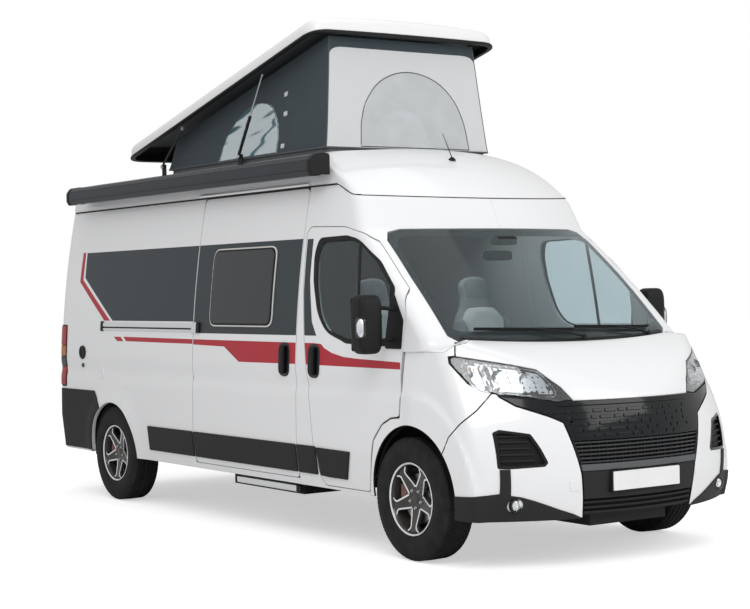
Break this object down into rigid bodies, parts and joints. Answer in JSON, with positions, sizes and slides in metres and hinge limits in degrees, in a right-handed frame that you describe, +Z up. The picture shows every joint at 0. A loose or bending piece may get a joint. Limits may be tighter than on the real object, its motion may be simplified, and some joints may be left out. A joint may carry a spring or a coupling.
{
  "type": "camper van",
  "caption": "High-roof camper van with raised rear-hinged lifting roof and tent, side awning, sliding door and rear doors.",
  "frame": {"origin": "on the ground, at the centre of the van's length and width", "axes": "+X to the vehicle's left, +Y to its rear, +Z up; the front faces -Y"},
  "size_m": [2.49, 6.02, 3.4815],
  "materials": {
    "white_paint": "gloss",
    "white_roof": "gloss",
    "black_plastic": "matte grained",
    "gloss_black": "gloss",
    "lamp": "clear",
    "red_lamp": "clear",
    "glass": "tinted",
    "tinted_window": "dark tint",
    "alloy": "machined and black",
    "tyre": "matte",
    "steel": "dull",
    "cast": "rough",
    "anodised": "satin",
    "seat_fabric": "woven",
    "tent_fabric": "woven",
    "trim": "soft",
    "floor": "laminate",
    "plate": "satin"
  },
  "bodies": {
    "body": {"cab_frame": "white_paint", "side_right": "white_paint", "side_left": "white_paint", "high_roof": "white_roof", "floor_pan": "floor", "bulkhead": "trim", "headlamps": "lamp", "front_mask": "gloss_black", "front_bumper": "white_paint", "fenders": "white_paint", "windshield": "glass", "sliding_door": "white_paint", "slide_window": "tinted_window", "front_subframe": "cast", "rear_axle": "cast", "dashboard": "trim", "cab_seats": "seat_fabric", "roof_feet": "steel", "awning": "anodised", "slide_rail": "anodised", "step_housing": "black_plastic", "rear_bumper": "black_plastic", "rear_lamps": "red_lamp", "number_plate": "plate", "engine_block": "cast", "fuel_tank": "black_plastic", "wipers": "black_plastic", "tent": "tent_fabric"},
    "bonnet": {"bonnet": "white_paint"},
    "cab_door_right": {"cab_door_right": "white_paint", "door_glass_right": "tinted_window", "mirror_right": "black_plastic"},
    "rear_door_right": {"rear_door_right": "white_paint"},
    "knuckle_right": {"knuckle_right": "cast"},
    "strut_barrel_right": {"strut_barrel_right": "steel"},
    "strut_rod_right": {"strut_rod_right": "steel"},
    "wheel_front_right": {"tyre_front_right": "tyre", "rim_front_right": "alloy"},
    "wheel_rear_right": {"tyre_rear_right": "tyre", "rim_rear_right": "alloy"},
    "cab_door_left": {"cab_door_left": "white_paint", "door_glass_left": "tinted_window", "mirror_left": "black_plastic"},
    "rear_door_left": {"rear_door_left": "white_paint"},
    "knuckle_left": {"knuckle_left": "cast"},
    "strut_barrel_left": {"strut_barrel_left": "steel"},
    "strut_rod_left": {"strut_rod_left": "steel"},
    "wheel_front_left": {"tyre_front_left": "tyre", "rim_front_left": "alloy"},
    "wheel_rear_left": {"tyre_rear_left": "tyre", "rim_rear_left": "alloy"},
    "steering_wheel": {"steering_wheel": "black_plastic"},
    "lift_arms": {"lift_arms": "steel"},
    "roof_lid": {"roof_lid": "white_roof"},
    "step_board": {"step_board": "anodised"}
  },
  "joints": [
    {"name": "bonnet_hinge", "type": "hinge", "parent": "body", "child": "bonnet", "pos_m": [0, -2.29, 1.372], "axis": [-1, 0, 0], "range_deg": [0, 50]},
    {"name": "cab_door_right_hinge", "type": "hinge", "parent": "body", "child": "cab_door_right", "pos_m": [-1.03, -2.022, 1], "axis": [0, 0, 1], "range_deg": [0, 70]},
    {"name": "rear_door_right_hinge", "type": "hinge", "parent": "body", "child": "rear_door_right", "pos_m": [-0.888, 3.001, 1.2], "axis": [0, 0, 1], "range_deg": [0, 96]},
    {"name": "steer_right", "type": "hinge", "parent": "body", "child": "knuckle_right", "pos_m": [-0.8, -2.04, 0.372], "axis": [0, 0, 1], "range_deg": [-35, 35]},
    {"name": "wheel_front_right_spin", "type": "hinge", "parent": "knuckle_right", "child": "wheel_front_right", "pos_m": [-0.905, -2.04, 0.372], "axis": [1, 0, 0], "continuous": true},
    {"name": "wheel_rear_right_spin", "type": "hinge", "parent": "body", "child": "wheel_rear_right", "pos_m": [-0.895, 1.995, 0.372], "axis": [1, 0, 0], "continuous": true},
    {"name": "strut_right_turn", "type": "hinge", "parent": "body", "child": "strut_barrel_right", "pos_m": [-0.728, 0.41, 2.606], "axis": [1, 0, 0], "range_deg": [0, 60.4]},
    {"name": "strut_right_slide", "type": "slide", "parent": "strut_barrel_right", "child": "strut_rod_right", "axis": [0, -0.5519, 0.8339], "range_m": [-0.174, 0]},
    {"name": "cab_door_left_hinge", "type": "hinge", "parent": "body", "child": "cab_door_left", "pos_m": [1.03, -2.022, 1], "axis": [0, 0, -1], "range_deg": [0, 70]},
    {"name": "rear_door_left_hinge", "type": "hinge", "parent": "body", "child": "rear_door_left", "pos_m": [0.888, 3.001, 1.2], "axis": [0, 0, -1], "range_deg": [0, 96]},
    {"name": "steer_left", "type": "hinge", "parent": "body", "child": "knuckle_left", "pos_m": [0.8, -2.04, 0.372], "axis": [0, 0, 1], "range_deg": [-35, 35]},
    {"name": "wheel_front_left_spin", "type": "hinge", "parent": "knuckle_left", "child": "wheel_front_left", "pos_m": [0.905, -2.04, 0.372], "axis": [1, 0, 0], "continuous": true},
    {"name": "wheel_rear_left_spin", "type": "hinge", "parent": "body", "child": "wheel_rear_left", "pos_m": [0.895, 1.995, 0.372], "axis": [1, 0, 0], "continuous": true},
    {"name": "strut_left_turn", "type": "hinge", "parent": "body", "child": "strut_barrel_left", "pos_m": [0.728, 0.41, 2.606], "axis": [1, 0, 0], "range_deg": [0, 60.4]},
    {"name": "strut_left_slide", "type": "slide", "parent": "strut_barrel_left", "child": "strut_rod_left", "axis": [0, -0.5519, 0.8339], "range_m": [-0.174, 0]},
    {"name": "steering_wheel_turn", "type": "hinge", "parent": "body", "child": "steering_wheel", "pos_m": [0.43, -1.79, 1.18], "axis": [0, 0.6428, 0.766], "range_deg": [-526, 526]},
    {"name": "lift_arm", "type": "hinge", "parent": "body", "child": "lift_arms", "pos_m": [0, 1.57, 2.612], "axis": [1, 0, 0], "range_deg": [0, 41.5], "deforming": ["tent"]},
    {"name": "lid_pitch", "type": "hinge", "parent": "lift_arms", "child": "roof_lid", "pos_m": [0, 1.222, 2.88], "axis": [1, 0, 0], "range_deg": [-28.8, 0]},
    {"name": "step_slide", "type": "slide", "parent": "body", "child": "step_board", "axis": [-1, 0, 0], "range_m": [0, 0.25]}
  ],
  "couplings": [
    {"joint": "steer_left", "follows": "steer_right", "ratio": 1},
    {"joint": "steering_wheel_turn", "follows": "steer_right", "ratio": 15},
    {"joint": "lid_pitch", "follows": "lift_arm", "ratio": -0.6819},
    {"joint": "strut_right_turn", "follows": "lift_arm", "ratio": 1.4437},
    {"joint": "strut_right_slide", "follows": "lift_arm", "m_per_rad": -0.23549},
    {"joint": "strut_left_turn", "follows": "lift_arm", "ratio": 1.4437},
    {"joint": "strut_left_slide", "follows": "lift_arm", "m_per_rad": -0.23549}
  ]
}
